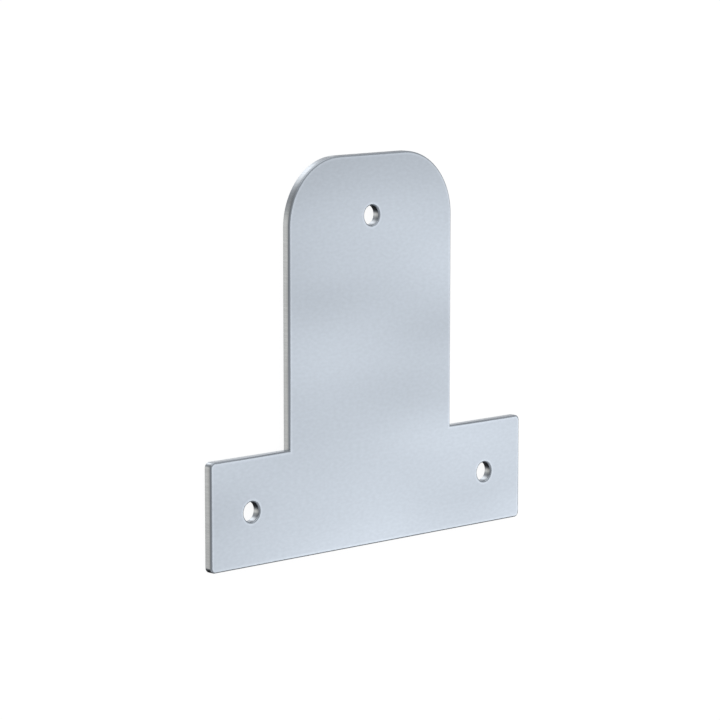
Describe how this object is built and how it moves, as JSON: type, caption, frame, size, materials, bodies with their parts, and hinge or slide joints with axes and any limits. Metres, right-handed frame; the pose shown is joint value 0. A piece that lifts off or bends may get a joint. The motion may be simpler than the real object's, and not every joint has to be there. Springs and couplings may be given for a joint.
{
  "type": "fixing plate",
  "caption": "Flat T-shaped steel fixing plate: a wide bar with a round-cornered tongue, and plain screw holes near the tongue's top and the bar's ends.",
  "frame": {"origin": "middle of the plate's bounding box, on its back face", "axes": "+X along the bar, +Y from the bar towards the tongue's top, +Z out of the front face, through the sheet's thickness"},
  "size_m": [0.118, 0.109, 0.0025],
  "materials": {
    "zinc_plated_steel": "bright zinc-plated sheet steel, satin, with bare grey cut edges"
  },
  "bodies": {
    "root": {"fixing_plate": "zinc_plated_steel"}
  },
  "joints": []
}
